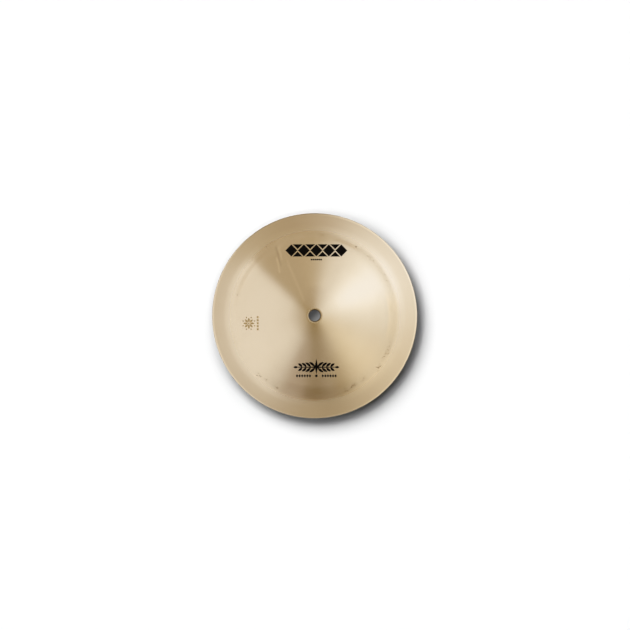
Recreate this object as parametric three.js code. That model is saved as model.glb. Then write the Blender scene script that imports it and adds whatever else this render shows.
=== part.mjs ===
// A bell cymbal: one piece of cast bronze, pressed and turned to a deep bell with a flared brim.
// Millimetres, +Z up. The origin is on the axis, in the plane that the rim rests on.
// The section is drawn once and revolved. Its outer face is a chain of arcs that meet tangent to tangent,
// and its inner face lies one wall thickness inside it.

import * as THREE from 'three';

const RIM_DIAMETER = 241.3; // 9 1/2 in
const HOLE_DIAMETER = 12.7; // 1/2 in, for the sleeved rod of a cymbal stand

// Crown, round the hole
const HOLE_TOP_ROUND = 1.2; // the punch draws the edge in
const HOLE_BOTTOM_BREAK = 0.4;
const FELT_SEAT_WIDTH = 1.0; // flat ring under the felt washer
const SEAT_BLEND_RADIUS = 8;

// Radii of the outer face in section, from the crown out to the brim
const CROWN_RADIUS = 96;
const SHOULDER_RADIUS = 218;
const HEEL_RADIUS = 117; // the wall steepens here, just above the brim
const STEEP_BAND_WIDTH = 3; // in plan, straight in section
const KNUCKLE_RADIUS = 38; // hollow bend between the bell and its brim
const BRIM_WIDTH = 25; // in plan, from the steep band to the rim

// Slopes of the outer face below the horizontal, in degrees, where those arcs meet
const CROWN_SLOPE = 9.5;
const SHOULDER_SLOPE = 23;
const WALL_SLOPE = 29;
const HEEL_SLOPE = 33;
const STEEPEST_SLOPE = 40;
const BRIM_SLOPE = 19; // the brim starts here and flares to the slope below
const RIM_SLOPE = 16.5;

// Thickness, square to the outer face
const CROWN_THICKNESS = 2.4;
const WALL_THICKNESS = 2.2;
const RIM_THICKNESS = 2.2;

// Trimmed edge of the rim
const RIM_TOP_ROUND = 1.7;
const RIM_BOTTOM_ROUND = 0.4;
const REST_LAND_WIDTH = 0.5; // flat ring that the cymbal stands on

// Facets
const FACETS_ROUND = 96;
const EDGE_STEPS = 3; // chords in each rounded edge
const BLEND_STEPS = 2;
const CROWN_STEPS = 5;
const SHOULDER_STEPS = 3;
const WALL_STEPS = 3;
const HEEL_STEPS = 3;
const KNUCKLE_STEPS = 6;
const BRIM_STEPS = 2;

const radians = (degrees) => THREE.MathUtils.degToRad(degrees);

// Where the stretches of the outer face begin and end, as distances from the axis
const rimRadius = RIM_DIAMETER / 2;
const holeRadius = HOLE_DIAMETER / 2;
const seatInner = holeRadius + HOLE_TOP_ROUND;
const seatOuter = seatInner + FELT_SEAT_WIDTH;
const steepEnd = rimRadius - BRIM_WIDTH;
const steepStart = steepEnd - STEEP_BAND_WIDTH;
const landInner = rimRadius - RIM_BOTTOM_ROUND - REST_LAND_WIDTH;
const brimEnd = rimRadius - RIM_TOP_ROUND * (1 - Math.sin(radians(RIM_SLOPE)));

// An arc of a given radius needs this much width in plan to turn from one slope to another.
function widthOfArc(radius, fromSlope, toSlope) {
  return radius * Math.abs(Math.sin(radians(toSlope)) - Math.sin(radians(fromSlope)));
}

const crownStart = seatOuter + widthOfArc(SEAT_BLEND_RADIUS, 0, CROWN_SLOPE);
const shoulderStart = crownStart + widthOfArc(CROWN_RADIUS, CROWN_SLOPE, SHOULDER_SLOPE);
const wallStart = shoulderStart + widthOfArc(SHOULDER_RADIUS, SHOULDER_SLOPE, WALL_SLOPE);
const heelStart = steepStart - widthOfArc(HEEL_RADIUS, HEEL_SLOPE, STEEPEST_SLOPE);
const brimStart = steepEnd + widthOfArc(KNUCKLE_RADIUS, STEEPEST_SLOPE, BRIM_SLOPE);

// The stretches of the outer face: each turns the slope evenly in its sine, which is an arc in section,
// and its thickness runs evenly from one end to the other.
const stretches = [
  {
    end: crownStart, slope: CROWN_SLOPE, thickness: CROWN_THICKNESS, steps: BLEND_STEPS,
  },
  {
    end: shoulderStart, slope: SHOULDER_SLOPE, thickness: WALL_THICKNESS, steps: CROWN_STEPS,
  },
  {
    end: wallStart, slope: WALL_SLOPE, thickness: WALL_THICKNESS, steps: SHOULDER_STEPS,
  },
  {
    end: heelStart, slope: HEEL_SLOPE, thickness: WALL_THICKNESS, steps: WALL_STEPS,
  },
  {
    end: steepStart, slope: STEEPEST_SLOPE, thickness: WALL_THICKNESS, steps: HEEL_STEPS,
  },
  {
    end: steepEnd, slope: STEEPEST_SLOPE, thickness: WALL_THICKNESS, steps: 1,
  },
  {
    end: brimStart, slope: BRIM_SLOPE, thickness: RIM_THICKNESS, steps: KNUCKLE_STEPS,
  },
  {
    end: brimEnd, slope: RIM_SLOPE, thickness: RIM_THICKNESS, steps: BRIM_STEPS,
  },
];

// Points of the outer face from the seat to the rim, each { r, z, slope, thickness }, with the seat at z = 0.
function outerFace() {
  const points = [{
    r: seatOuter, z: 0, slope: 0, thickness: CROWN_THICKNESS,
  }];
  for (const stretch of stretches) {
    const start = points.at(-1);
    const sineIn = Math.sin(start.slope);
    const sineOut = Math.sin(radians(stretch.slope));
    for (let step = 1; step <= stretch.steps; step += 1) {
      const share = step / stretch.steps;
      const before = points.at(-1);
      const r = THREE.MathUtils.lerp(start.r, stretch.end, share);
      const slope = Math.asin(THREE.MathUtils.lerp(sineIn, sineOut, share));
      // A chord of an arc runs at the mean of its end slopes.
      const chordSlope = (before.slope + slope) / 2;
      points.push({
        r,
        z: before.z - (r - before.r) * Math.tan(chordSlope),
        slope,
        thickness: THREE.MathUtils.lerp(start.thickness, stretch.thickness, share),
      });
    }
  }
  return points;
}

// Points of an edge rounding: a turn about (r, z) from one angle to another, anticlockwise if it grows.
function edgeRound(r, z, radius, fromDegrees, toDegrees) {
  const points = [];
  for (let step = 0; step <= EDGE_STEPS; step += 1) {
    const angle = radians(THREE.MathUtils.lerp(fromDegrees, toDegrees, step / EDGE_STEPS));
    points.push(new THREE.Vector2(r + radius * Math.cos(angle), z + radius * Math.sin(angle)));
  }
  return points;
}

// The closed section, anticlockwise: along the rest land, round the rim, in over the bell to the hole,
// down the hole and out again under the bell.
function bellSection() {
  const rimSlope = radians(RIM_SLOPE);
  const face = outerFace();
  // The brim's inner line meets the rest land, so its outer line stands one thickness above that.
  const brimEndHeight = (landInner - brimEnd) * Math.tan(rimSlope) + RIM_THICKNESS / Math.cos(rimSlope);
  const lift = brimEndHeight - face.at(-1).z;
  const outer = face.map(({ r, z }) => new THREE.Vector2(r, z + lift));
  const inner = face.slice(0, -1).map(({
    r, z, slope, thickness,
  }) => new THREE.Vector2(
    r - thickness * Math.sin(slope),
    z + lift - thickness * Math.cos(slope),
  ));
  const seatHeight = outer[0].y;
  const undersideHeight = inner[0].y;
  const noseCentreHeight = brimEndHeight - RIM_TOP_ROUND * Math.cos(rimSlope);

  return [
    new THREE.Vector2(landInner, 0),
    ...edgeRound(rimRadius - RIM_BOTTOM_ROUND, RIM_BOTTOM_ROUND, RIM_BOTTOM_ROUND, -90, 0),
    ...edgeRound(rimRadius - RIM_TOP_ROUND, noseCentreHeight, RIM_TOP_ROUND, 0, 90 - RIM_SLOPE).slice(0, -1),
    ...outer.reverse(),
    ...edgeRound(seatInner, seatHeight - HOLE_TOP_ROUND, HOLE_TOP_ROUND, 90, 180),
    new THREE.Vector2(holeRadius, undersideHeight + HOLE_BOTTOM_BREAK),
    new THREE.Vector2(holeRadius + HOLE_BOTTOM_BREAK, undersideHeight),
    ...inner,
  ];
}

// Revolves a closed section about Z. LatheGeometry turns about Y, so the result is stood up.
function revolve(section) {
  const closed = [...section, section[0].clone()];
  const geometry = new THREE.LatheGeometry(closed, FACETS_ROUND);
  geometry.rotateX(Math.PI / 2);
  return geometry;
}

const bronze = new THREE.MeshStandardMaterial({ color: 0xd8c49a, roughness: 0.28, metalness: 1 });

const bell = new THREE.Mesh(revolve(bellSection()), bronze);
bell.name = 'bronze_bell';

const cymbal = new THREE.Group();
cymbal.name = 'bell_cymbal';
cymbal.add(bell);

export default cymbal;
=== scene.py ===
"""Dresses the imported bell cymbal: bright bronze, printed ornaments, and a white table seen from above.

Lengths are in metres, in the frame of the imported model: the rim rests on z = 0 and +Z is up.
"""

import math
from collections import namedtuple

import bpy
import numpy as np
from bpy.props import FloatProperty, FloatVectorProperty, IntProperty, PointerProperty
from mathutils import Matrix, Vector


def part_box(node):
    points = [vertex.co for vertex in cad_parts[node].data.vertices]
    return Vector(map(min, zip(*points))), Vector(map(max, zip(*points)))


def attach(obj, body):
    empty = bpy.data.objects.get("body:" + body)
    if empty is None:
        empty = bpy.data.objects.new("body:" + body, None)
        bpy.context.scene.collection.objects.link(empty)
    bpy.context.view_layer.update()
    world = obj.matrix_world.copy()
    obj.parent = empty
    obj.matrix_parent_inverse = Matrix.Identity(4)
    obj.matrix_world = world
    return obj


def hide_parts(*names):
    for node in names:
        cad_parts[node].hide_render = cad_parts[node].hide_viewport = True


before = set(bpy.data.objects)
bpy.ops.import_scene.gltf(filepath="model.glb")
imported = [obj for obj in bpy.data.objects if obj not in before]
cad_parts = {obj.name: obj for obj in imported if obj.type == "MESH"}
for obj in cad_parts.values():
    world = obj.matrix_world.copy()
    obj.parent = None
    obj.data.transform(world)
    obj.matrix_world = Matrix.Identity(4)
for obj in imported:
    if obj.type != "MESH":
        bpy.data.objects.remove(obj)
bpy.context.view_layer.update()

bl_info = {
    "name": "Bell Cymbal",
    "version": (1, 0, 0),
    "blender": (4, 5, 0),
    "location": "3D View > Sidebar > Bell Cymbal",
    "description": "Builds a bright bronze bell cymbal with printed ornaments on a white table",
    "category": "Add Mesh",
}

MM = 0.001
NODE = "bronze_bell"
NODE_LOW, NODE_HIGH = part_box(NODE)
WHITE = (1, 1, 1, 1)
BLACK = (0, 0, 0, 1)

# The photograph, in its own pixels
PHOTO_WIDTH = 630
PHOTO_RIM_RADIUS = 102.5
PHOTO_CENTRE = (314.68, 315.74)


# Settings


def length(name, description, default):
    """A length in metres."""
    return FloatProperty(
        name=name, description=description, default=default, min=0, precision=5, subtype="DISTANCE", unit="LENGTH"
    )


def angle(name, description, degrees):
    """An angle, given here in degrees."""
    return FloatProperty(
        name=name, description=description, default=math.radians(degrees), subtype="ANGLE", unit="ROTATION"
    )


def fraction(name, description, default):
    """A part of a whole, or a shader's strength between 0 and 1."""
    return FloatProperty(name=name, description=description, default=default, min=0, max=1, subtype="FACTOR")


def colour(name, description, default):
    """A colour in linear light."""
    return FloatVectorProperty(
        name=name, description=description, default=default, min=0, max=2, size=3, subtype="COLOR"
    )


class BellSizes(bpy.types.PropertyGroup):
    """The bell's section, as its maker would gauge it."""

    rim_diameter: length("Rim diameter", "Across the whole bell", NODE_HIGH[0] - NODE_LOW[0])
    hole_diameter: length("Hole diameter", "For the stand's sleeved rod", 12.7 * MM)
    hole_top_round: length("Hole's top round", "Edge that the punch drew in", 1.2 * MM)
    hole_bottom_break: length("Hole's bottom break", "Broken edge under the crown", 0.4 * MM)
    felt_seat_width: length("Felt seat width", "Flat ring round the hole", 1.0 * MM)
    seat_blend_radius: length("Seat blend radius", "Bend from the seat into the crown", 8 * MM)
    crown_radius: length("Crown radius", "Arc next to the hole, in section", 96 * MM)
    shoulder_radius: length("Shoulder radius", "Arc below the crown, in section", 218 * MM)
    heel_radius: length("Heel radius", "Arc that steepens above the brim", 117 * MM)
    steep_band_width: length("Steep band width", "In plan, straight in section", 3 * MM)
    knuckle_radius: length("Knuckle radius", "Hollow bend between bell and brim", 38 * MM)
    brim_width: length("Brim width", "In plan, from the steep band to the rim", 25 * MM)
    crown_slope: angle("Crown slope", "Below the horizontal, by the seat", 9.5)
    shoulder_slope: angle("Shoulder slope", "Where the crown's arc ends", 23)
    wall_slope: angle("Wall slope", "Where the shoulder's arc ends", 29)
    heel_slope: angle("Heel slope", "Where the heel's arc begins", 33)
    steepest_slope: angle("Steepest slope", "Of the steep band above the brim", 40)
    brim_slope: angle("Brim slope", "Where the brim begins", 19)
    rim_slope: angle("Rim slope", "Where the brim ends", 16.5)
    crown_thickness: length("Crown thickness", "Square to the outer face", 2.4 * MM)
    wall_thickness: length("Wall thickness", "Square to the outer face", 2.2 * MM)
    rim_thickness: length("Rim thickness", "Square to the outer face", 2.2 * MM)
    rim_top_round: length("Rim's top round", "Upper edge of the rim", 1.7 * MM)
    rim_bottom_round: length("Rim's bottom round", "Lower edge of the rim", 0.4 * MM)
    rest_land_width: length("Rest land width", "Flat ring that the bell stands on", 0.5 * MM)
    steps_round: IntProperty(name="Steps round", description="Facets round the axis", default=320, min=24)


class BronzeFinish(bpy.types.PropertyGroup):
    """How the bronze looks."""

    bright: colour("Bright bronze", "Buffed outer face", (0.80, 0.66, 0.46))
    bright_roughness: fraction("Bright roughness", "Of the buffed bell", 0.212)
    bright_grain: fraction("Bright grain", "How far its tool lines draw out what it mirrors", 0.2)
    brim_roughness: fraction("Brim's roughness", "More than the bell's, because it is buffed less", 0.10)
    unbuffed: colour("Unbuffed bronze", "Underside, turned but not buffed", (0.72, 0.57, 0.37))
    unbuffed_roughness: fraction("Unbuffed roughness", "Of the underside", 0.34)
    unbuffed_grain: fraction("Unbuffed grain", "How far its tool lines draw out what it mirrors", 0.45)
    dried_paste: colour("Dried paste", "Specks in the hollow above the brim", (0.39, 0.275, 0.145))
    paste_film: colour("Paste film", "Thin film in the hollow above the brim", (0.60, 0.41, 0.20))
    # Painted light: the rim's painted highlight, the rub marks' glints and broad painted light on the bell and brim
    rubs_and_painted_light: colour("Rubbed bright", "Edge of the rim and rub marks", (0.89, 0.745, 0.53))
    # Painted shade: the rub marks' darker streaks and a patch of painted shade on the bell's heel
    dull_rubs_and_painted_shade: colour("Rubbed dull", "Dull side of the rub marks", (0.67, 0.54, 0.37))
    warm: colour("Warm bronze", "Right side of the hollow above the brim", (0.89, 0.715, 0.465))
    # Painted shade on one side of the brim
    painted_brim_shade: colour("Tarnish", "Breath of brown on one side of the brim", (0.66, 0.50, 0.31))
    # Painted shade on the very edge of the rim
    painted_edge_shade: colour("Cut edge", "Very edge of the rim, left unbuffed", (0.30, 0.22, 0.12))
    # Painted shade on the edge of the hole
    painted_hole_shade: colour("Hole's skin", "Dark skin on the edge of the hole", (0.14, 0.09, 0.045))
    line_pitch: length("Tool line pitch", "Mean distance between turned lines", 0.45 * MM)
    line_depth: length("Tool line depth", "Height of the turned lines", 0.0025 * MM)


class PrintSizes(bpy.types.PropertyGroup):
    """The printed ornaments: where they sit, how large they are, and their ink."""

    ink: colour("Ink", "Black printing ink", (0.0018, 0.0013, 0.0008))
    stamp_ink: colour("Stamp ink", "Faint brown stamp", (0.30, 0.20, 0.08))
    ink_thickness: length("Ink thickness", "How far the print stands proud", 0.06 * MM)
    ink_sink: length("Ink sink", "How far the print reaches into the face", 0.02 * MM)
    band_radius: length("Band radius", "From the axis to the upper band's middle line", 76.2 * MM)
    band_length: length("Band length", "Along the upper band", 73 * MM)
    band_height: length("Band height", "Across the upper band", 14.5 * MM)
    drift: length("Drift", "How far both black prints sit to the right of the axis", 2.0 * MM)
    spray_radius: length("Spray radius", "From the axis to the lower ornament", 60 * MM)
    spray_width: length("Spray width", "Across the lower ornament", 53.5 * MM)
    rosette_radius: length("Rosette radius", "From the axis to the stamp", 77.4 * MM)
    rosette_angle: angle("Rosette angle", "Of the stamp, from +X", 186.7)


class StudioSettings(bpy.types.PropertyGroup):
    """Camera, table and light."""

    camera_distance: length("Camera distance", "From the rim's middle, on a long lens", 3.0)
    camera_lean_x: angle("Camera lean along X", "Off the bell's axis", 0.07)
    camera_lean_y: angle("Camera lean along Y", "Off the bell's axis", -0.25)
    riser_height: length("Riser height", "Low round step that lifts the rim off the table", 15 * MM)
    table_radius: length("Table radius", "White table", 4.0)
    key_azimuth: angle("Key azimuth", "Where the main lamp stands, from +X", 130)
    key_elevation: angle("Key elevation", "Of the main lamp", 43.6)
    key_spread: angle("Key spread", "Apparent width of the main lamp", 38)
    side_swing: angle("Side swing", "How far round each side lamp stands from the main one", 58)
    side_elevation: angle("Side elevation", "Of the side lamps", 49)
    side_spread: angle("Side spread", "Apparent width of a side lamp", 42)
    side_share: fraction("Side share", "The side lamps' part of the light", 0.35)
    room_light: fraction("Room light", "Even light from all round", 0.005)
    table_white: colour("Table white", "Paper white of the table", (1.02, 1.02, 1.02))
    hole_paper: colour("Paper under the hole", "In the bell's shade", (0.15, 0.15, 0.16))
    contact_shade: fraction("Contact shade", "Paper right beside the rim, against its white", 0.9)
    contact_width: length("Contact width", "How far from the rim the paper is a little grey", 8 * MM)
    shadow_shade: fraction("Shadow shade", "More of the same on the shadow's side", 0.74)
    shadow_width: length("Shadow width", "How far from the rim that shade reaches", 14 * MM)


# Shapes


def grid_faces(rows, columns, wrap_rows, wrap_columns):
    """Quads of a grid whose point (i, j) has the index i * columns + j, as an array with four columns.

    The quad at (i, j) runs (i, j), (i + 1, j), (i + 1, j + 1), (i, j + 1), so its normal is the row step
    crossed with the column step.
    """
    i = np.arange(rows if wrap_rows else rows - 1)[:, None]
    j = np.arange(columns if wrap_columns else columns - 1)[None, :]
    next_i = (i + 1) % rows
    next_j = (j + 1) % columns
    corners = [i * columns + j, next_i * columns + j, next_i * columns + next_j, i * columns + next_j]
    return np.stack([corner.ravel() for corner in np.broadcast_arrays(*corners)], axis=1)


def mesh_object(name, points, quads, materials, smooth=True):
    """A new mesh object at the origin, from an array of points and an array of quads."""
    mesh = bpy.data.meshes.new(name)
    mesh.vertices.add(len(points))
    mesh.vertices.foreach_set("co", np.ascontiguousarray(points, dtype=np.float32).ravel())
    mesh.loops.add(quads.size)
    mesh.loops.foreach_set("vertex_index", np.ascontiguousarray(quads, dtype=np.int32).ravel())
    mesh.polygons.add(len(quads))
    mesh.polygons.foreach_set("loop_start", np.arange(0, quads.size, 4, dtype=np.int32))
    mesh.polygons.foreach_set("use_smooth", np.full(len(quads), smooth))
    mesh.update(calc_edges=True)
    mesh.validate()
    for material in materials:
        mesh.materials.append(material)
    piece = bpy.data.objects.new(name, mesh)
    bpy.context.scene.collection.objects.link(piece)
    return piece


def arc_stretch(start_r, start_z, start_slope, end_r, end_slope, steps):
    """Points (r, z) and slopes of an arc that turns from one slope to another between two radii.

    An arc's sine of slope grows evenly with r: sin s = sin s0 + (r - r0) / k, with k its signed radius.
    Its height follows as z = z0 + k (cos s - cos s0).
    """
    share = np.linspace(0, 1, steps + 1)[1:]
    sines = math.sin(start_slope) + share * (math.sin(end_slope) - math.sin(start_slope))
    slopes = np.arcsin(sines)
    r = start_r + share * (end_r - start_r)
    if math.isclose(start_slope, end_slope):
        z = start_z - (r - start_r) * math.tan(start_slope)
    else:
        k = (end_r - start_r) / (math.sin(end_slope) - math.sin(start_slope))
        z = start_z + k * (np.cos(slopes) - math.cos(start_slope))
    return r, z, slopes


def outer_face(sizes):
    """Points (r, z), slopes and thicknesses of the outer face, from the felt seat out to the rim's nose.

    The face is a chain of arcs, each met tangent to tangent. It is lifted so that the rim's land is at z = 0.
    """

    def width(radius, slope, next_slope):
        return radius * abs(math.sin(next_slope) - math.sin(slope))

    rim = sizes.rim_diameter / 2
    seat_end = sizes.hole_diameter / 2 + sizes.hole_top_round + sizes.felt_seat_width
    steep_end = rim - sizes.brim_width
    steep_start = steep_end - sizes.steep_band_width
    crown_start = seat_end + width(sizes.seat_blend_radius, 0, sizes.crown_slope)
    shoulder_start = crown_start + width(sizes.crown_radius, sizes.crown_slope, sizes.shoulder_slope)
    wall_start = shoulder_start + width(sizes.shoulder_radius, sizes.shoulder_slope, sizes.wall_slope)
    heel_start = steep_start - width(sizes.heel_radius, sizes.heel_slope, sizes.steepest_slope)
    brim_start = steep_end + width(sizes.knuckle_radius, sizes.steepest_slope, sizes.brim_slope)
    brim_end = rim - sizes.rim_top_round * (1 - math.sin(sizes.rim_slope))
    # Where each stretch ends, its slope and thickness there, and its steps
    stretches = [
        (crown_start, sizes.crown_slope, sizes.crown_thickness, 6),
        (shoulder_start, sizes.shoulder_slope, sizes.wall_thickness, 22),
        (wall_start, sizes.wall_slope, sizes.wall_thickness, 16),
        (heel_start, sizes.heel_slope, sizes.wall_thickness, 12),
        (steep_start, sizes.steepest_slope, sizes.wall_thickness, 16),
        (steep_end, sizes.steepest_slope, sizes.wall_thickness, 4),
        (brim_start, sizes.brim_slope, sizes.rim_thickness, 28),
        (brim_end, sizes.rim_slope, sizes.rim_thickness, 8),
    ]
    r, z, slope, thickness = ([np.array([value])] for value in (seat_end, 0.0, 0.0, sizes.crown_thickness))
    for end_r, end_slope, end_thickness, steps in stretches:
        arc = arc_stretch(r[-1][-1], z[-1][-1], slope[-1][-1], end_r, end_slope, steps)
        thickness.append(np.linspace(thickness[-1][-1], end_thickness, steps + 1)[1:])
        for values, new in zip((r, z, slope), arc):
            values.append(new)
    r, z, slope, thickness = (np.concatenate(values) for values in (r, z, slope, thickness))
    land_inner = rim - sizes.rim_bottom_round - sizes.rest_land_width
    end_height = (land_inner - brim_end) * math.tan(sizes.rim_slope)
    end_height += sizes.rim_thickness / math.cos(sizes.rim_slope)
    return r, z + end_height - z[-1], slope, thickness


def edge_arc(centre_r, centre_z, radius, start, end, steps=8):
    """Points (r, z) of a rounded edge: centre + radius (cos a, sin a), with a from start to end in radians."""
    a = np.linspace(start, end, steps + 1)
    return np.stack([centre_r + radius * np.cos(a), centre_z + radius * np.sin(a)], axis=1)


def bell_section(sizes):
    """The closed section (r, z), anticlockwise from the rest land, and where its underside begins.

    The underside is the outer face moved in by the thickness t: (r - t sin s, z - t cos s).
    """
    r, z, slope, thickness = outer_face(sizes)
    rim = sizes.rim_diameter / 2
    hole = sizes.hole_diameter / 2
    quarter = math.pi / 2
    inner = np.stack([r - thickness * np.sin(slope), z - thickness * np.cos(slope)], axis=1)
    low_round = sizes.rim_bottom_round
    top_round = sizes.rim_top_round
    nose_z = z[-1] - top_round * math.cos(sizes.rim_slope)
    seat_inner = hole + sizes.hole_top_round
    hole_break = sizes.hole_bottom_break
    outside = [
        np.array([[rim - low_round - sizes.rest_land_width, 0.0]]),
        edge_arc(rim - low_round, low_round, low_round, -quarter, 0),
        edge_arc(rim - top_round, nose_z, top_round, 0, quarter - sizes.rim_slope)[:-1],
        np.stack([r, z], axis=1)[::-1],
        edge_arc(seat_inner, z[0] - sizes.hole_top_round, sizes.hole_top_round, quarter, 2 * quarter),
    ]
    # The brim's underside runs straight to the rest land, so the last two points under it are left out.
    underside = [
        edge_arc(hole + hole_break, inner[0, 1] + hole_break, hole_break, 2 * quarter, 3 * quarter),
        inner[:-2],
    ]
    return np.concatenate(outside + underside), sum(len(row) for row in outside)


def revolve(section, steps_round):
    """Points of a closed section turned about Z: (r cos a, r sin a, z), by angle a and then along the section."""
    a = np.linspace(0, 2 * math.pi, steps_round, endpoint=False)[:, None]
    r, z = section[:, 0][None, :], section[:, 1][None, :]
    return np.stack([r * np.cos(a), r * np.sin(a), z + 0 * a], axis=2).reshape(-1, 3)


# Ornaments, drawn flat as strokes in millimetres and laid on the bell


def stroke(x, y, half_width, across=5):
    """A grid (n, across, 2) of a flat stroke: a line (x, y) widened to each side by half_width at each point.

    The side step is half_width times the line's unit normal, (-dy, dx) / |(dx, dy)|.
    """
    line = np.stack([x, y], axis=1)
    along = np.gradient(line, axis=0)
    along /= np.linalg.norm(along, axis=1, keepdims=True)
    normal = np.stack([-along[:, 1], along[:, 0]], axis=1)
    side = np.linspace(-1, 1, across)[None, :, None]
    return line[:, None, :] + side * (half_width[:, None] * normal)[:, None, :]


def between(x, low, high, across=4):
    """A grid (n, across, 2) that fills the space between two lines over x: low + share (high - low)."""
    share = np.linspace(0, 1, across)[None, :]
    y = low[:, None] + share * (high - low)[:, None]
    return np.stack([x[:, None] + 0 * y, y], axis=2)


def lozenge(centre_x, centre_y, half_length, half_height, steps=12):
    """A four-cornered spot: it reaches half_height (1 - |t|) up and down, for t from -1 to 1 along it."""
    t = np.linspace(-1, 1, steps + 1)
    reach = half_height * np.maximum(1 - np.abs(t), 0.02)
    return between(centre_x + half_length * t, centre_y - reach, centre_y + reach)


def dot(centre_x, centre_y, radius, steps=10):
    """A round spot: it reaches radius sqrt(1 - t^2) up and down, for t from -1 to 1 along it."""
    t = np.sin(np.linspace(-1, 1, steps + 1) * math.pi / 2)
    reach = radius * np.sqrt(np.maximum(1 - t * t, 0.0025))
    return between(centre_x + radius * t, centre_y - reach, centre_y + reach)


def lattice(half_length, half_height, count, gap):
    """A dense frieze: a row of lozenges, and between each two a wedge from either edge.

    With u the distance from a lozenge's middle as a share of half the pitch, a lozenge fills |y| < h (1 - u), and
    a wedge fills what is left up to |y| = h, less the gap.
    """
    pitch = 2 * half_length / count
    middles = pitch * (np.arange(count) - (count - 1) / 2)
    shapes = [lozenge(middle, 0, pitch / 2 - gap / 4, half_height) for middle in middles]
    t = np.linspace(-1, 1, 13)
    keep = 1 - gap / half_height
    low = (half_height * np.abs(t) + gap) * keep + gap * (1 - keep)
    high = np.full(len(t), half_height + 0.02)
    for notch in (middles[:-1] + middles[1:]) / 2:
        x = notch + pitch / 2 * keep * t
        shapes += [between(x, low, high), between(x, -high, -low)]
    return shapes


def leaf(root_x, root_y, reach, heading, widest, bend=0.5, steps=14):
    """A leaf: a line that starts at its root and turns by bend, with the half width widest sin(pi t) ^ 0.8."""
    t = np.linspace(0, 1, steps + 1)
    turned = heading + bend * t[:-1]
    x = root_x + np.concatenate([[0], np.cumsum(np.cos(turned))]) * reach / steps
    y = root_y + np.concatenate([[0], np.cumsum(np.sin(turned))]) * reach / steps
    return stroke(x, y, widest * np.maximum(np.sin(math.pi * t), 0.02) ** 0.8)


def leafy_spray(half_length, pairs):
    """The right half of a spray: a stem with a leaf to each side at even steps, and one at its end."""
    t = np.linspace(0, 1, 17)
    pitch = half_length * 0.74 / pairs
    shapes = [stroke(half_length * (0.04 + 0.8 * t), 0 * t, 0.75 - 0.4 * t, across=3)]
    for k in range(pairs):
        root, size = half_length * 0.06 + pitch * k, 9.0 - 0.9 * k
        shapes += [leaf(root, side * 0.3, size, side * 0.95, 1.45, -side * 0.6) for side in (-1, 1)]
    shapes.append(leaf(half_length * 0.8, 0, half_length * 0.2, 0.0, 1.3, 0.0))
    return shapes


def mirrored(grid):
    """The same stroke on the other side of the upright axis, with its sides swapped to keep facing up."""
    return grid[:, ::-1, :] * np.array([-1.0, 1.0])


def upper_band(prints):
    """The upper print: the frieze over a row of six dots."""
    tall = prints.band_height / MM / 2
    shapes = lattice(prints.band_length / MM / 2, tall, 5, 1.5)
    shapes += [dot(2.25 * k, -tall - 3.7, 1.0) for k in np.arange(6) - 2.5]
    return [shape + (prints.drift / MM, 0.0) for shape in shapes]


def lower_spray(prints):
    """The lower print: a spray to each side of a tall lozenge, over a row of small lozenges with a dot in it."""
    row_y = -10.2
    half = leafy_spray(prints.spray_width / MM / 2, 4)
    half += [lozenge(7.5 + 3.0 * k, row_y, 1.4, 1.95) for k in range(6)]
    shapes = half + [mirrored(shape) for shape in half] + [lozenge(0, 0.8, 1.9, 9.5), dot(0, row_y, 1.5)]
    return [shape + (prints.drift / MM, 0.0) for shape in shapes]


def side_rosette():
    """The stamp: a dot, eight leaves and eight dots round it, and a column of five bars to the right."""
    root, ring, half_turn = 1.3, 7.3, 0.39
    around = np.linspace(0, 2 * math.pi, 8, endpoint=False)
    shapes = [leaf(root * math.cos(a), root * math.sin(a), 5.2, a, 1.15, 0.0) for a in around]
    shapes.append(dot(0, 0, 0.9))
    shapes += [dot(ring * math.cos(a + half_turn), ring * math.sin(a + half_turn), 0.8) for a in around]
    sides = np.array([9.5, 11.6])
    shapes += [between(sides, np.full(2, y), np.full(2, y + 2.4)) for y in np.linspace(-8, 6, 5)]
    return shapes


def on_the_bell(grid, radius, direction, sizes, prints):
    """Lays a flat stroke in millimetres on the outer face as a closed sheet of ink: (points, quads).

    radius and direction say where the drawing's own origin goes.
    """
    x = radius * math.cos(direction) + grid[..., 0] * MM
    y = radius * math.sin(direction) + grid[..., 1] * MM
    face_r, face_z, _, _ = outer_face(sizes)
    z = np.interp(np.hypot(x, y), face_r, face_z)
    top = np.stack([x, y, z + prints.ink_thickness], axis=2)
    bottom = np.stack([x, y, z - prints.ink_sink], axis=2)
    points = np.concatenate([top.reshape(-1, 3), bottom.reshape(-1, 3)])
    rows, columns = grid.shape[:2]
    count = rows * columns
    index = np.arange(count).reshape(rows, columns)
    rim = np.concatenate([index[0, :-1], index[:-1, -1], index[-1, :0:-1], index[:0:-1, 0]])
    following = np.roll(rim, -1)
    walls = np.stack([rim, following, following + count, rim + count], axis=1)
    faces = grid_faces(rows, columns, False, False)
    quads = np.concatenate([faces, faces[:, ::-1] + count, walls[:, ::-1]])
    corner, ahead, aside = (points[faces[:, k]] for k in (0, 1, 3))
    upwards = np.cross(ahead - corner, aside - corner)[:, 2].sum() > 0
    return points, quads if upwards else quads[:, ::-1]


def print_object(name, shapes, radius, direction, ink, scene):
    """One piece of print, from all its strokes."""
    points, quads, start = [], [], 0
    for shape in shapes:
        new_points, new_quads = on_the_bell(shape, radius, direction, scene.bell_sizes, scene.print_sizes)
        points.append(new_points)
        quads.append(new_quads + start)
        start += len(new_points)
    piece = mesh_object(name, np.concatenate(points), np.concatenate(quads), [ink], smooth=False)
    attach(piece, "root")
    return piece


# Shader helpers


def feed(tree, socket, value):
    """Links another node's output to a socket, or writes a plain value into it."""
    if isinstance(value, bpy.types.NodeSocket):
        tree.links.new(value, socket)
    else:
        socket.default_value = value


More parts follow.
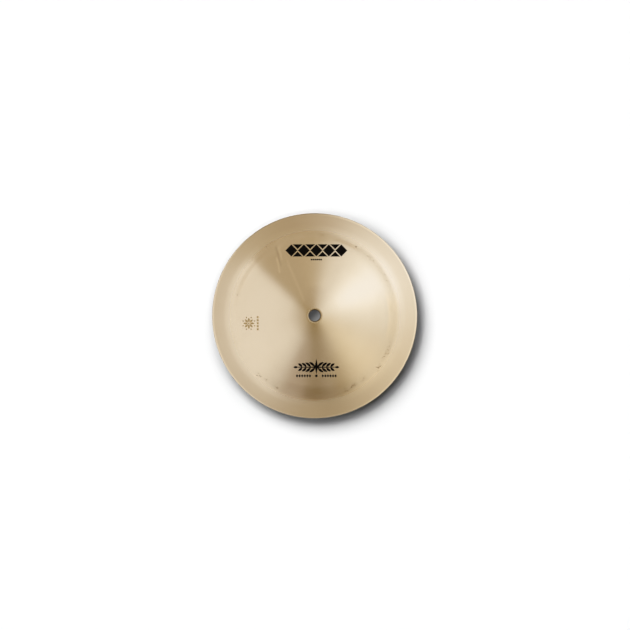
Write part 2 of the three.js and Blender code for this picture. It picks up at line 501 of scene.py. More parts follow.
def place(tree, kind, inputs=None, **settings):
    """Adds a node, sets its properties, and fills its inputs with links or plain values."""
    made = tree.nodes.new(kind)
    for name, value in settings.items():
        setattr(made, name, value)
    for name, value in (inputs or {}).items():
        feed(tree, made.inputs[name], value)
    return made


def calc(tree, operation, *values):
    """A Math node's result."""
    return place(tree, "ShaderNodeMath", dict(enumerate(values)), operation=operation).outputs[0]


def vector_calc(tree, operation, *values):
    """A Vector Math node's result: a number for a length, a distance or a dot product, and a vector otherwise."""
    made = place(tree, "ShaderNodeVectorMath", dict(enumerate(values)), operation=operation)
    return made.outputs["Value" if operation in ("LENGTH", "DISTANCE", "DOT_PRODUCT") else "Vector"]


def blend_colours(tree, amount, below, above):
    """The colour below, turned into the one above by amount."""
    made = place(tree, "ShaderNodeMix", data_type="RGBA")
    for index, value in ((0, amount), (6, below), (7, above)):
        feed(tree, made.inputs[index], value)
    return made.outputs[2]


def ease(tree, value, low, high, out_low=0.0, out_high=1.0):
    """A smooth step from out_low to out_high as value goes from low to high."""
    inputs = {"Value": value, "From Min": low, "From Max": high, "To Min": out_low, "To Max": out_high}
    return place(tree, "ShaderNodeMapRange", inputs, interpolation_type="SMOOTHSTEP").outputs["Result"]


def noise(tree, at, scale, detail, roughness, distortion=0.0, dimensions="3D"):
    """Noise over a position, or in 1D over a single number."""
    inputs = {
        "W" if dimensions == "1D" else "Vector": at,
        "Scale": scale, "Detail": detail, "Roughness": roughness, "Distortion": distortion,
    }
    return place(tree, "ShaderNodeTexNoise", inputs, noise_dimensions=dimensions).outputs["Fac"]


def near_turn(tree, azimuth, middle, full, none, strength=1.0):
    """The strength within full degrees of the middle one, which falls smoothly to nothing at none degrees."""
    off = calc(tree, "SUBTRACT", azimuth, math.radians(middle))
    off = calc(tree, "ABSOLUTE", calc(tree, "WRAP", off, math.pi, -math.pi))
    return ease(tree, off, math.radians(full), math.radians(none), strength, 0.0)


def near_circle(tree, distance, middle, full, none):
    """1 within full millimetres of a circle round the axis, which falls smoothly to nothing at none millimetres."""
    off = calc(tree, "ABSOLUTE", calc(tree, "SUBTRACT", distance, middle * MM))
    return ease(tree, off, full * MM, none * MM, 1.0, 0.0)


def flattened(tree, position):
    """A position's place in plan."""
    return vector_calc(tree, "MULTIPLY", position, (1, 1, 0))


def axis_distance(tree, position):
    """How far a position lies from the bell's axis."""
    return vector_calc(tree, "LENGTH", flattened(tree, position))


def axis_turn(tree, position):
    """A position's direction from the bell's axis, in radians from +X."""
    parts = place(tree, "ShaderNodeSeparateXYZ", {0: position}).outputs
    return calc(tree, "ARCTAN2", parts["Y"], parts["X"])


def empty_tree(owner):
    """The node tree of a material or a world, with nothing in it."""
    owner.use_nodes = True
    owner.node_tree.nodes.clear()
    return owner.node_tree


def new_material(name):
    """A material, its node tree, its Principled shader and its Object coordinates."""
    material = bpy.data.materials.new(name)
    tree = empty_tree(material)
    shader = place(tree, "ShaderNodeBsdfPrincipled")
    place(tree, "ShaderNodeOutputMaterial", {"Surface": shader.outputs[0]})
    position = place(tree, "ShaderNodeTexCoord").outputs["Object"]
    return material, tree, shader, position


def new_group(name, inputs, outputs):
    """A node group with named sockets. Each input is (name, kind, default) and each output (name, kind)."""
    tree = bpy.data.node_groups.new(name, "ShaderNodeTree")
    for socket_name, kind, default in inputs:
        socket = tree.interface.new_socket(socket_name, in_out="INPUT", socket_type="NodeSocket" + kind)
        if default is not None:
            socket.default_value = default
    for socket_name, kind in outputs:
        tree.interface.new_socket(socket_name, in_out="OUTPUT", socket_type="NodeSocket" + kind)
    return tree, place(tree, "NodeGroupInput").outputs, place(tree, "NodeGroupOutput").inputs


def group_node(tree, group, inputs, label=""):
    """The outputs of a node group that is placed in a tree."""
    return place(tree, "ShaderNodeGroup", inputs, node_tree=group, label=label).outputs


def turned_lines_group():
    """Fine lines round the axis, as a tool leaves them: noise along the distance from the axis."""
    tree, given, result = new_group(
        "Turned lines",
        [("Position", "Vector", None), ("Pitch", "Float", 0.45 * MM)],
        [("Lines", "Float"), ("Soft rings", "Float")],
    )
    count = calc(tree, "DIVIDE", axis_distance(tree, given["Position"]), given["Pitch"])
    tree.links.new(noise(tree, count, 1.0, 3.0, 0.7, dimensions="1D"), result["Lines"])
    tree.links.new(noise(tree, count, 0.06, 2.0, 0.5, dimensions="1D"), result["Soft rings"])
    return tree


def handling_group():
    """Faint smudges from hands and cloths: broad soft clouds."""
    tree, given, result = new_group("Handling marks", [("Position", "Vector", None)], [("Smudge", "Float")])
    clouds = noise(tree, given["Position"], 22.0, 2.0, 0.5, distortion=0.4)
    tree.links.new(ease(tree, clouds, 0.46, 0.72), result["Smudge"])
    return tree


# Materials

# Where polishing paste has dried in the hollow above the brim: the middle and half width of each patch in degrees
# from +X, its distance from the axis in millimetres, how dense its specks are, and how strong its thin film is.
PastePatch = namedtuple("PastePatch", "middle half_width radius specks film")
PASTE_PATCHES = [PastePatch(*row) for row in (
    (6, 4, 90.0, 0.0, 0.10), (32, 9, 94.0, 0.6, 0.05), (49, 7, 94.0, 0.7, 0.03), (66, 10, 92.6, 0.3, 0.34),
    (85, 2, 94.8, 0.9, 0.10), (122, 4, 99.0, 0.0, 0.12), (138, 32, 93.4, 0.1, 0.20), (227, 3, 96.0, 0.8, 0.02),
    (233, 2, 94.2, 1.0, 0.02), (242, 2, 95.8, 1.0, 0.02), (293, 2, 94.2, 1.0, 0.10), (299, 3, 93.8, 1.4, 0.17),
    (308, 3, 93.4, 0.8, 0.12), (321, 3, 96.6, 1.0, 0.02), (331, 5, 94.8, 0.9, 0.08), (338, 5, 94.9, 0.7, 0.03),
)]
# How far a patch reaches across the ring to each side, in millimetres
PASTE_HALF_WIDTH = 3.4
# The level that the noise has to pass to make a speck, from none to full, and how much a dense patch adds to it
SPECK_LEVEL = (0.68, 0.73)
SPECK_GAIN = 0.12
# Single grains of the paste: degrees from +X, distance from the axis and radius, both in millimetres
PasteGrain = namedtuple("PasteGrain", "turn distance radius")
PASTE_GRAINS = [PasteGrain(*row) for row in (
    (26, 94.0, 0.7), (43, 94.1, 0.9), (59, 94.1, 1.4), (125, 98.4, 0.9), (165, 94.0, 0.8), (226, 97.3, 0.9),
    (228.5, 95.0, 0.85), (233, 94.0, 0.9), (243, 95.1, 0.85), (299, 93.8, 1.1), (297, 94.6, 0.9), (321, 96.6, 1.2),
    (332, 94.2, 0.7), (333, 97.4, 0.8), (335, 95.4, 0.7), (338, 95.0, 0.6), (308, 93.5, 0.6), (320, 93.8, 0.6),
)]

# Rub marks on the bell's upper left, with painted glints as lighter streaks and painted shade as darker ones: both
# ends in millimetres from the axis, half the width, and how far the mark turns the bronze lighter or darker.
PaintedRubStreak = namedtuple("PaintedRubStreak", "start end half_width lighter darker")
PAINTED_RUB_STREAKS = (
    PaintedRubStreak((-41.8, 81.0), (-38.7, 66.0), 2.4, 0.7, 0.0),
    PaintedRubStreak((-44.0, 66.9), (-40.7, 50.8), 2.4, 1.0, 0.0),
    PaintedRubStreak((-45.7, 80.3), (-41.2, 65.5), 2.6, 0.0, 0.6),
    PaintedRubStreak((-41.2, 65.5), (-39.2, 58.5), 2.0, 0.0, 0.5),
    PaintedRubStreak((-31.8, 63.7), (-12.6, 17.5), 2.8, 0.5, 0.0),
)

# Broad soft areas of another tone, most of them painted light and painted shade on the bell and brim: the tone's
# name in the finish and how strong it is, the middle of the area in degrees from +X and how far round it is full
# and gone, and the same across it in millimetres from the axis.
LightAndToneArea = namedtuple("LightAndToneArea", "tone strength turn turn_full turn_none radius full none")
LIGHT_AND_TONE_AREAS = (
    LightAndToneArea("painted_brim_shade", 0.5, 92, 8, 34, 125, 17, 25),
    LightAndToneArea("rubs_and_painted_light", 0.9, 252, 12, 34, 125, 23, 31),
    LightAndToneArea("rubs_and_painted_light", 0.6, 142, 6, 26, 125, 23, 31),
    LightAndToneArea("rubs_and_painted_light", 0.7, 87, 8, 27, 61, 23, 33),
    LightAndToneArea("rubs_and_painted_light", 0.15, 214, 8, 24, 78, 8, 20),
    LightAndToneArea("dull_rubs_and_painted_shade", 0.4, 262, 8, 20, 89.5, 4, 9),
    LightAndToneArea("warm", 0.6, 0, 8, 22, 92, 4, 7.5),
)

# A smudge's tint against clean bronze, how strong it is, and how much rougher it makes the face
SMUDGE_TINT = (0.96, 0.94, 0.91)
SMUDGE_STRENGTH = 0.4
SMUDGE_ROUGHNESS = 0.01
# The painted shade at the hole's edge: its strength, and how far its edge is blurred to each side
HOLE_SHADE_STRENGTH = 0.9
HOLE_SHADE_BLUR = 0.5 * MM
# Where the rim's painted highlight begins and is full, and where the painted shade at its very edge begins and is
# full, in from the rim
EDGE_HIGHLIGHT = (3.0 * MM, 1.8 * MM)
EDGE_SHADE = (0.7 * MM, 0.35 * MM)
EDGE_SHADE_STRENGTH = 0.75
# Where the painted shade at the rim's very edge is wider, in degrees: its middle from +X, and how far round it is
# full and gone. Then by how much.
WIDE_EDGE_SHADE = (108, 14, 40)
WIDE_EDGE_SHADE_WIDENING = 0.45 * MM
# How far into the brim its own roughness is full, and how much dried paste adds
BRIM_BLEND = 8 * MM
PASTE_ROUGHNESS = 0.12
# How much higher the soft rings are than the fine lines
SOFT_RINGS_SHARE = 2.0


def paste_masks(tree, position, azimuth, distance):
    """Brown specks and a thin film in the patches above, as two masks.

    A patch is a smooth hump along the ring times a smooth hump across it. The film is the hump itself, and the
    specks are a fine noise that has to pass a threshold, which falls where the hump is high, and the single grains.
    """
    dense, film = 0.0, 0.0
    for patch in PASTE_PATCHES:
        along = near_turn(tree, azimuth, patch.middle, 0.3 * patch.half_width, 1.4 * patch.half_width)
        across = near_circle(tree, distance, patch.radius, 0.3 * PASTE_HALF_WIDTH, PASTE_HALF_WIDTH)
        hump = calc(tree, "MULTIPLY", along, across)
        dense = calc(tree, "ADD", dense, calc(tree, "MULTIPLY", hump, patch.specks))
        film = calc(tree, "ADD", film, calc(tree, "MULTIPLY", hump, patch.film))
    level = calc(tree, "ADD", noise(tree, position, 640.0, 2.0, 0.6), calc(tree, "MULTIPLY", dense, SPECK_GAIN))
    specks = calc(tree, "MULTIPLY", ease(tree, level, *SPECK_LEVEL), ease(tree, dense, 0.02, 0.25))
    flat = flattened(tree, position)
    for grain in PASTE_GRAINS:
        turn, radius = math.radians(grain.turn), grain.radius * MM
        spot = Vector((math.cos(turn), math.sin(turn), 0)) * grain.distance * MM
        gap = vector_calc(tree, "DISTANCE", flat, spot)
        specks = calc(tree, "MAXIMUM", specks, ease(tree, gap, 0.4 * radius, radius, 1.0, 0.0))
    return specks, film


def painted_rub_masks(tree, position):
    """Soft rub lines on the face as two masks: lighter for painted glints and darker for painted shade.

    A line is a smooth step from its full strength at no distance to nothing at half its width, where the distance
    is taken to the nearest point between its ends.
    """
    flat = flattened(tree, position)
    masks = [0.0, 0.0]
    for mark in PAINTED_RUB_STREAKS:
        start = Vector((*mark.start, 0)) * MM
        run = Vector((*mark.end, 0)) * MM - start
        from_start = vector_calc(tree, "SUBTRACT", flat, start)
        share = vector_calc(tree, "DOT_PRODUCT", from_start, run / run.length_squared)
        share = place(tree, "ShaderNodeClamp", {0: share}).outputs[0]
        gap = vector_calc(tree, "DISTANCE", from_start, vector_calc(tree, "MULTIPLY", run, share))
        for index, strength in enumerate((mark.lighter, mark.darker)):
            if strength > 0:
                line = ease(tree, gap, 0.0, mark.half_width * MM, strength, 0.0)
                masks[index] = calc(tree, "MAXIMUM", masks[index], line)
    return masks


def outer_wear_and_painted_light(tree, position, distance, tone, rough, finish, sizes):
    """The outer face's own wear and its painted light and shade, laid over a tone and a roughness.

    It has the brim's duller buff, broad areas of another tone that are mostly painted light and shade, rub marks
    with painted glints and shade, a painted highlight along the rim and painted shade at its very edge, and dried
    paste, in that order.
    """
    rim = sizes.rim_diameter / 2
    brim = rim - sizes.brim_width
    azimuth = axis_turn(tree, position)
    rough = calc(tree, "ADD", rough, ease(tree, distance, brim, brim + BRIM_BLEND, 0.0, finish.brim_roughness))
    # Broad areas painted lighter or darker, and one warmer area
    for area in LIGHT_AND_TONE_AREAS:
        turned = near_turn(tree, azimuth, area.turn, area.turn_full, area.turn_none, area.strength)
        shown = calc(tree, "MULTIPLY", turned, near_circle(tree, distance, area.radius, area.full, area.none))
        tone = blend_colours(tree, shown, tone, (*getattr(finish, area.tone), 1))
    # A painted highlight along the rim's edge, left out where the painted shade at its very edge is wider.
    wide_edge_shade = near_turn(tree, azimuth, *WIDE_EDGE_SHADE)
    edge = ease(tree, distance, rim - EDGE_HIGHLIGHT[0], rim - EDGE_HIGHLIGHT[1])
    edge = calc(tree, "MULTIPLY", edge, calc(tree, "SUBTRACT", 1.0, wide_edge_shade))
    lighter, darker = painted_rub_masks(tree, position)
    # The painted highlight along the rim joins the rub marks' lighter streaks.
    lighter = calc(tree, "MAXIMUM", lighter, edge)
    # Painted shade on the rim's very edge, reaching further in where it is wider.
    reach = calc(tree, "ADD", distance, calc(tree, "MULTIPLY", wide_edge_shade, WIDE_EDGE_SHADE_WIDENING))
    edge_shade = ease(tree, reach, rim - EDGE_SHADE[0], rim - EDGE_SHADE[1], 0.0, EDGE_SHADE_STRENGTH)
    paste, film = paste_masks(tree, position, azimuth, distance)
    for mask, colour_above in (
        (lighter, finish.rubs_and_painted_light), (darker, finish.dull_rubs_and_painted_shade), (edge_shade, finish.painted_edge_shade),
        (film, finish.paste_film), (paste, finish.dried_paste),
    ):
        tone = blend_colours(tree, mask, tone, (*colour_above, 1))
    return tone, calc(tree, "ADD", rough, calc(tree, "MULTIPLY", paste, PASTE_ROUGHNESS))


def bronze_material(name, base, roughness, grain, finish, sizes, groups, outer):
    """Turned bronze: tool lines, smudges, painted shade at the hole's edge, and the wear and painted light and
    shade of the outer face if it is that.
    """
    material, tree, shader, position = new_material(name)
    distance = axis_distance(tree, position)
    lines = group_node(tree, groups["lines"], {"Position": position, "Pitch": finish.line_pitch})
    smudge = group_node(tree, groups["handling"], {"Position": position})["Smudge"]

    smudged = tuple(value * share for value, share in zip(base, SMUDGE_TINT))
    tone = blend_colours(tree, calc(tree, "MULTIPLY", smudge, SMUDGE_STRENGTH), (*base, 1), (*smudged, 1))
    lip = sizes.hole_diameter / 2 + sizes.hole_top_round
    # Painted shade round the hole's edge.
    shading = ease(tree, distance, lip - HOLE_SHADE_BLUR, lip + HOLE_SHADE_BLUR, HOLE_SHADE_STRENGTH, 0.0)
    tone = blend_colours(tree, shading, tone, (*finish.painted_hole_shade, 1))
    rough = calc(tree, "ADD", roughness, calc(tree, "MULTIPLY", smudge, SMUDGE_ROUGHNESS))
    if outer:
        tone, rough = outer_wear_and_painted_light(tree, position, distance, tone, rough, finish, sizes)

    height = calc(tree, "ADD", lines["Lines"], calc(tree, "MULTIPLY", lines["Soft rings"], SOFT_RINGS_SHARE))
    bump = place(tree, "ShaderNodeBump", {"Height": height, "Strength": 1.0, "Distance": finish.line_depth})
    round_axis = place(tree, "ShaderNodeTangent", direction_type="RADIAL", axis="Z")
    for socket, value in (
        ("Base Color", tone), ("Roughness", rough), ("Normal", bump.outputs[0]), ("Metallic", 1.0),
        ("Anisotropic", grain), ("Anisotropic Rotation", 0.25), ("Tangent", round_axis.outputs[0]),
    ):
        feed(tree, shader.inputs[socket], value)
    return material


def ink_material(name, tone, roughness, gloss):
    """Printing ink with small thin spots, where it is paler and a little rougher."""
    material, tree, shader, position = new_material(name)
    thin = ease(tree, noise(tree, position, 900.0, 3.0, 0.6), 0.5, 0.8)
    paler = tuple(min(1.0, value * 2.2 + 0.004) for value in tone)
    rough = calc(tree, "ADD", roughness, calc(tree, "MULTIPLY", thin, 0.15))
    tree.links.new(blend_colours(tree, thin, (*tone, 1), (*paler, 1)), shader.inputs["Base Color"])
    tree.links.new(rough, shader.inputs["Roughness"])
    shader.inputs["Specular IOR Level"].default_value = gloss
    return material


# Light

# What the bronze mirrors: broad panels of the room's light, laid over each other in this order. Angles are in
# degrees: start and end from +X, top and bottom from straight up, each with its own blur. For each degree below 45,
# a panel's upright sides lean over by so many degrees, and their blur shrinks by the share called sharpening.
# Colours are light strengths, so a panel may be brighter than 1.
PANEL_SHAPE = (
    "start", "start_blur", "end", "end_blur", "top", "top_blur", "bottom", "bottom_blur", "lean", "sharpening",
)
SkyPanel = namedtuple("SkyPanel", ("name", *PANEL_SHAPE, "colour"))
SKY_BASE = (0.307, 0.205, 0.02)
SKY_PANELS = (
    SkyPanel("lower right", 304.5, 83, 347.5, 120, -10, 2, 200, 2, -0.30, 0.013, (1.10, 1.08, 1.01)),
    SkyPanel("right window", -3.4, 96, 90.7, 37, -6, 120, 89, 61, -0.30, 0.003, (1.31, 1.43, 1.66)),
    SkyPanel("top shade", 60.5, 120, 133.3, 21.5, -10, 2, 200, 2, 0.30, 0.006, (0.54, 0.47, 0.36)),
    SkyPanel("left soft light", 140.2, 33.3, 287.5, 120, 26, 62, 200, 2, -0.065, 0.041, (0.93, 0.95, 1.01)),
    SkyPanel("bottom shade", 253.9, 82, 286.4, 59.5, -10, 2, 200, 2, -0.045, 0.011, (0.22, 0.14, 0.02)),
    SkyPanel("dark floor edge", 249, 61, 301, 107, 74.4, 28.5, 200, 2, 0.0, 0.0, (0.19, 0.117, 0.02)),
    SkyPanel("blue of the window", 16, 20, 42, 20, 48, 14, 74, 16, 0.0, 0.0, (1.16, 1.29, 1.60)),
    SkyPanel("bottom left shade", 246, 12, 260, 12, 50, 22, 90, 20, 0.0, 0.0, (0.49, 0.43, 0.38)),
    SkyPanel("overhead shade", 94, 20, 128, 16, -10, 2, 36, 14, 0.0, 0.0, (0.50, 0.43, 0.325)),
)
# Where the white floor takes over from the room, in degrees from straight up
HORIZON = (88.0, 92.0)


def panel_socket(field):
    """The name of a panel's field as a socket."""
    return field.replace("_", " ").capitalize()


def sky_panel_group():
    """Lays one panel of light over the sky: its mask is a smooth step over each of its four sides.

    Both sideways distances are divided by 1 - sharpening (zenith angle - 45), which narrows the blur.
    """
    tree, given, result = new_group(
        "Sky panel",
        [("Sky", "Color", None), ("Azimuth", "Float", 0.0), ("From zenith", "Float", 0.0)]
        + [(panel_socket(field), "Float", 0.0) for field in PANEL_SHAPE]
        + [("Light", "Color", None)],
        [("Sky", "Color")],
    )
    middle = calc(tree, "MULTIPLY", calc(tree, "ADD", given["Start"], given["End"]), 0.5)
    half = calc(tree, "MULTIPLY", calc(tree, "SUBTRACT", given["End"], given["Start"]), 0.5)
    lower = calc(tree, "SUBTRACT", given["From zenith"], 45.0)
    leaning = calc(tree, "MULTIPLY", lower, given["Lean"])
    offset = calc(tree, "SUBTRACT", calc(tree, "SUBTRACT", given["Azimuth"], middle), leaning)
    offset = calc(tree, "WRAP", offset, 180.0, -180.0)
    narrowed = calc(tree, "SUBTRACT", 1.0, calc(tree, "MULTIPLY", lower, given["Sharpening"]))
    narrowed = calc(tree, "MAXIMUM", narrowed, 0.1)
    offset = calc(tree, "DIVIDE", offset, narrowed)
    half = calc(tree, "DIVIDE", half, narrowed)

    mask = None
    for value, edge, blur, sign in (
        (offset, calc(tree, "MULTIPLY", half, -1.0), given["Start blur"], 1.0),
        (offset, half, given["End blur"], -1.0),
        (given["From zenith"], given["Top"], given["Top blur"], 1.0),
        (given["From zenith"], given["Bottom"], given["Bottom blur"], -1.0),
    ):
        past = calc(tree, "MULTIPLY", calc(tree, "SUBTRACT", value, edge), sign)
        half_blur = calc(tree, "MULTIPLY", blur, 0.5)
        side = ease(tree, past, calc(tree, "MULTIPLY", half_blur, -1.0), half_blur)
        mask = side if mask is None else calc(tree, "MULTIPLY", mask, side)
    tree.links.new(blend_colours(tree, mask, given["Sky"], given["Light"]), result["Sky"])
    return tree


def studio_world(fill):
    """White to the camera, the panels of light to metal, and an even low fill for everything else."""
    world = bpy.data.worlds.new("Studio")
    tree = empty_tree(world)
    direction = place(tree, "ShaderNodeTexCoord").outputs["Generated"]
    height = place(tree, "ShaderNodeSeparateXYZ", {0: direction}).outputs["Z"]
    azimuth = calc(tree, "DEGREES", axis_turn(tree, direction))
    from_zenith = calc(tree, "DEGREES", calc(tree, "ARCCOSINE", height))
    group = sky_panel_group()
    sky = (*SKY_BASE, 1)
    for panel in SKY_PANELS:
        inputs = {"Sky": sky, "Azimuth": azimuth, "From zenith": from_zenith, "Light": (*panel.colour, 1)}
        inputs.update({panel_socket(field): getattr(panel, field) for field in PANEL_SHAPE})
        sky = group_node(tree, group, inputs, panel.name)["Sky"]
    sky = blend_colours(tree, ease(tree, from_zenith, *HORIZON), sky, WHITE)
    path = place(tree, "ShaderNodeLightPath").outputs
    seen = calc(tree, "MAXIMUM", path["Is Camera Ray"], path["Is Transmission Ray"])
    shown = blend_colours(tree, seen, sky, WHITE)
    # Rays that have touched a matt surface find the plain room, so the bronze casts no glints on the table.
    matt = calc(tree, "MAXIMUM", path["Is Diffuse Ray"], calc(tree, "GREATER_THAN", path["Diffuse Depth"], 0.5))
    shown = blend_colours(tree, matt, shown, (fill, fill, fill, 1))
    background = place(tree, "ShaderNodeBackground", {"Color": shown, "Strength": 1.0})
    place(tree, "ShaderNodeOutputWorld", {"Surface": background.outputs[0]})
    # The room differs from ray to ray, so it is only found by rays that hit it.
    world.cycles.sampling_method = "NONE"
    bpy.context.scene.world = world


def add_sun(name, azimuth, elevation, spread, level):
    """A lamp that lights a level white sheet to the given level.

    The bronze already mirrors the room, so a lamp only draws shadows and lights the ink.
    """
    lamp = bpy.data.lights.new(name, "SUN")
    lamp.angle = spread
    lamp.energy = level * math.pi / math.sin(elevation)
    sun = bpy.data.objects.new(name, lamp)
    bpy.context.scene.collection.objects.link(sun)
    run = math.cos(elevation)
    towards = Vector((run * math.cos(azimuth), run * math.sin(azimuth), math.sin(elevation)))
    sun.location = towards
    sun.rotation_euler = towards.to_track_quat("Z", "Y").to_euler()
    sun.visible_glossy = False


def add_lamps(studio):
    """The main lamp and one to each side of it. They share what the even room light leaves."""
    lit = 1 - studio.room_light
    azimuth, swing, share = studio.key_azimuth, studio.side_swing, studio.side_share
    add_sun("key", azimuth, studio.key_elevation, studio.key_spread, (1 - share) * lit)
    for name, turn in (("left side lamp", swing), ("right side lamp", -swing)):
        add_sun(name, azimuth + turn, studio.side_elevation, studio.side_spread, share / 2 * lit)


# Table and camera

# The daylight on the paper under the hole, painted as a glow: its strength on either side, and where those are in
# hole radii
DAYLIGHT = (0.066, 0.26)
DAYLIGHT_REACH = (-0.9, 2.0)
DAYLIGHT_TONE = (1.0, 1.0, 0.99, 1)
# The glow that keeps the step's wall as pale as the table. Only the side views show that wall.
WALL_GLOW = 0.75
# Where the paper is shaded more, in degrees: its middle from the main lamp, and how far round it is full and gone
SHADOW_SIDE = (178, 80, 128)
# The paper's colour for light that has left a matt surface: dark, so that the paper lights nothing
UNSEEN_PAPER = (0.01, 0.01, 0.01, 1)
# Facets round the table, how far its step stays in from the rim, and the break of the step's edges
TABLE_STEPS = 192
STEP_INSET = 0.8 * MM
STEP_BREAK = 0.5 * MM


def table_material(studio, rim, hole_radius):
    """Matt white paper. What the eye or a reflection sees of it is a little whiter than white.

    It is painted faintly grey right beside the rim, and more so on the shadow's side. Under the hole it glows with
    painted daylight, which grows evenly from one side of the hole to the other.
    """
    material = bpy.data.materials.new("table paper")
    tree = empty_tree(material)
    path = place(tree, "ShaderNodeLightPath").outputs
    seen = calc(tree, "MAXIMUM", path["Is Camera Ray"], path["Is Glossy Ray"])
    seen = calc(tree, "MAXIMUM", seen, path["Is Transmission Ray"])
    seen = calc(tree, "MULTIPLY", seen, calc(tree, "LESS_THAN", path["Diffuse Depth"], 0.5))
    position = place(tree, "ShaderNodeTexCoord").outputs["Object"]
    distance = axis_distance(tree, position)

    under = ease(tree, distance, hole_radius * 2, hole_radius * 4, 1.0, 0.0)
    parts = place(tree, "ShaderNodeSeparateXYZ", {0: position}).outputs
    across = calc(tree, "SUBTRACT", parts["X"], parts["Y"])
    fallen = ease(tree, across, *(reach * hole_radius for reach in DAYLIGHT_REACH), *DAYLIGHT)
    normal = place(tree, "ShaderNodeNewGeometry").outputs["Normal"]
    facing_up = place(tree, "ShaderNodeSeparateXYZ", {0: normal}).outputs["Z"]
    wall = ease(tree, facing_up, 0.2, 0.6, WALL_GLOW, 0.0)
    glow_level = calc(tree, "MAXIMUM", calc(tree, "MULTIPLY", under, fallen), wall)
    glow_tone = blend_colours(tree, under, WHITE, DAYLIGHT_TONE)

    beside = ease(tree, distance, rim, rim + studio.contact_width, studio.contact_shade, 1.0)
    opposite, full, none = SHADOW_SIDE
    opposite += math.degrees(studio.key_azimuth)
    shaded = near_turn(tree, axis_turn(tree, position), opposite, full, none, 1 - studio.shadow_shade)
    shaded = calc(tree, "MULTIPLY", shaded, ease(tree, distance, rim, rim + studio.shadow_width, 1.0, 0.0))
    beside = calc(tree, "MULTIPLY", beside, calc(tree, "SUBTRACT", 1.0, shaded))
    paper_tone = blend_colours(tree, beside, BLACK, (*studio.table_white, 1))
    shown_tone = blend_colours(tree, under, paper_tone, (*studio.hole_paper, 1))

    plain = place(tree, "ShaderNodeBsdfDiffuse", {"Color": UNSEEN_PAPER})
    shown = place(tree, "ShaderNodeBsdfDiffuse", {"Color": shown_tone})
    glow = place(tree, "ShaderNodeEmission", {"Color": glow_tone, "Strength": glow_level})
    both = place(tree, "ShaderNodeAddShader", {0: shown.outputs[0], 1: glow.outputs[0]})
    choice = place(tree, "ShaderNodeMixShader", {0: seen, 1: plain.outputs[0], 2: both.outputs[0]})
    place(tree, "ShaderNodeOutputMaterial", {"Surface": choice.outputs[0]})
    return material


def add_table(studio, rim, hole_radius):
    """The white table with a low round step under the rim: a profile (r, z), turned about the axis."""
    drop = studio.riser_height
    step = rim - STEP_INSET
    profile = np.array([
        [0.001 * MM, 0], [step - STEP_BREAK, 0], [step, -STEP_BREAK], [step, -drop + STEP_BREAK],
        [step + STEP_BREAK, -drop], [rim * 2, -drop], [studio.table_radius, -drop],
    ])[::-1]
    quads = grid_faces(TABLE_STEPS, len(profile), True, False)
    paper = table_material(studio, rim, hole_radius)
    mesh_object("table", revolve(profile, TABLE_STEPS), quads, [paper], smooth=False)


def add_camera(scene, studio, rim):
    """A camera high above the bell, framed by the rim's radius and middle in the photograph."""
    camera_data = bpy.data.cameras.new("camera")
    camera = bpy.data.objects.new("camera", camera_data)
    scene.collection.objects.link(camera)
    view_width = PHOTO_WIDTH / PHOTO_RIM_RADIUS * rim
    camera_data.lens = camera_data.sensor_width * studio.camera_distance / view_width
    camera_data.clip_end = studio.table_radius * 10
    pixel = view_width / PHOTO_WIDTH
    middle = PHOTO_WIDTH / 2
    target = Vector(((middle - PHOTO_CENTRE[0]) * pixel, (PHOTO_CENTRE[1] - middle) * pixel, 0))
    back = Vector((math.tan(studio.camera_lean_x), math.tan(studio.camera_lean_y), 1)).normalized()
    camera.location = target + studio.camera_distance * back
    camera.rotation_euler = Vector((0, 0, 1)).rotation_difference(back).to_euler()
    scene.camera = camera


# Operators


class BELL_OT_bronze(bpy.types.Operator):
    """Turn the bronze bell from its section"""

    bl_idname = "bell_cymbal.bronze"
    bl_label = "Bronze Bell"

    def execute(self, context):
        sizes, finish = context.scene.bell_sizes, context.scene.bronze_finish
        shared = (finish, sizes, {"lines": turned_lines_group(), "handling": handling_group()})
        bright = bronze_material(
            "buffed bronze", finish.bright, finish.bright_roughness, finish.bright_grain, *shared, outer=True
        )
        plain = bronze_material(
            "turned bronze", finish.unbuffed, finish.unbuffed_roughness, finish.unbuffed_grain, *shared, outer=False
        )
        section, underside_start = bell_section(sizes)
        points = revolve(section, sizes.steps_round)
        quads = grid_faces(sizes.steps_round, len(section), True, True)
        bell = mesh_object("bell", points, quads, [bright, plain])
        along = np.tile(np.arange(len(section)), sizes.steps_round)
        bell.data.polygons.foreach_set("material_index", (along >= underside_start).astype(np.int32))
        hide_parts(NODE)
        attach(bell, "root")
        return {"FINISHED"}


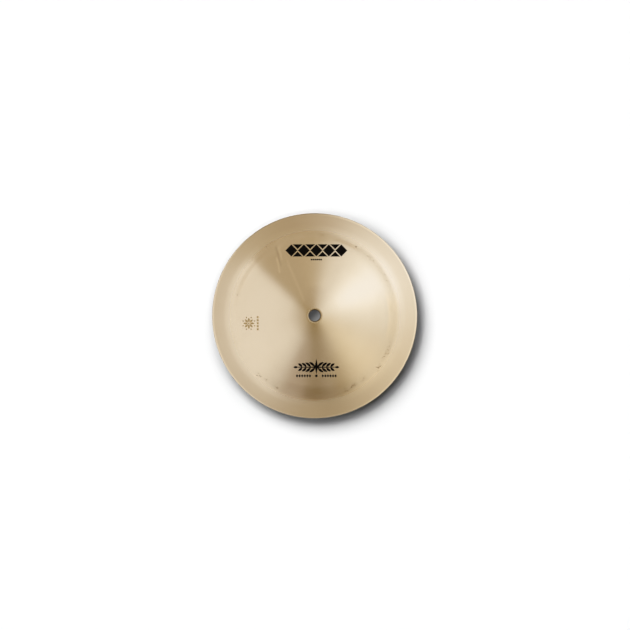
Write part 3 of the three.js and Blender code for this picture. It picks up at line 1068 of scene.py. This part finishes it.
class BELL_OT_prints(bpy.types.Operator):
    """Print the ornaments on the outer face"""

    bl_idname = "bell_cymbal.prints"
    bl_label = "Printed Ornaments"

    def execute(self, context):
        scene = context.scene
        prints = scene.print_sizes
        black = ink_material("black ink", prints.ink, roughness=0.6, gloss=0.03)
        brown = ink_material("brown stamp ink", prints.stamp_ink, roughness=0.5, gloss=0.5)
        up, down = math.pi / 2, -math.pi / 2
        print_object("upper_print", upper_band(prints), prints.band_radius, up, black, scene)
        print_object("lower_print", lower_spray(prints), prints.spray_radius, down, black, scene)
        print_object("side_stamp", side_rosette(), prints.rosette_radius, prints.rosette_angle, brown, scene)
        return {"FINISHED"}


class BELL_OT_studio(bpy.types.Operator):
    """Set up the table, the light and the camera"""

    bl_idname = "bell_cymbal.studio"
    bl_label = "Table, Light and Camera"

    def execute(self, context):
        scene = context.scene
        studio, sizes = scene.studio_settings, scene.bell_sizes
        rim = sizes.rim_diameter / 2
        add_camera(scene, studio, rim)
        add_table(studio, rim, sizes.hole_diameter / 2)
        add_lamps(studio)
        studio_world(studio.room_light)
        scene.view_settings.view_transform = "Standard"
        return {"FINISHED"}


class BELL_PT_panel(bpy.types.Panel):
    """Lists the steps and their sizes"""

    bl_label = "Bell Cymbal"
    bl_idname = "BELL_PT_panel"
    bl_space_type = "VIEW_3D"
    bl_region_type = "UI"
    bl_category = "Bell Cymbal"

    def draw(self, context):
        scene = context.scene
        for operator, settings in (
            (BELL_OT_bronze, (scene.bell_sizes, scene.bronze_finish)),
            (BELL_OT_prints, (scene.print_sizes,)),
            (BELL_OT_studio, (scene.studio_settings,)),
        ):
            self.layout.operator(operator.bl_idname)
            box = self.layout.box()
            for group in settings:
                for name in group.__annotations__:
                    box.prop(group, name)


SETTINGS = {
    "bell_sizes": BellSizes,
    "bronze_finish": BronzeFinish,
    "print_sizes": PrintSizes,
    "studio_settings": StudioSettings,
}
CLASSES = (*SETTINGS.values(), BELL_OT_bronze, BELL_OT_prints, BELL_OT_studio, BELL_PT_panel)


def register():
    """Makes the operators, the panel and the settings known, with the settings kept on the scene."""
    for one in CLASSES:
        bpy.utils.register_class(one)
    for name, kind in SETTINGS.items():
        setattr(bpy.types.Scene, name, PointerProperty(type=kind))


def unregister():
    """Takes them away again."""
    for name in SETTINGS:
        delattr(bpy.types.Scene, name)
    for one in reversed(CLASSES):
        bpy.utils.unregister_class(one)


def main():
    """Builds the bell, its prints and the studio."""
    register()
    bpy.ops.bell_cymbal.bronze()
    bpy.ops.bell_cymbal.prints()
    bpy.ops.bell_cymbal.studio()


if __name__ == "__main__":
    main()
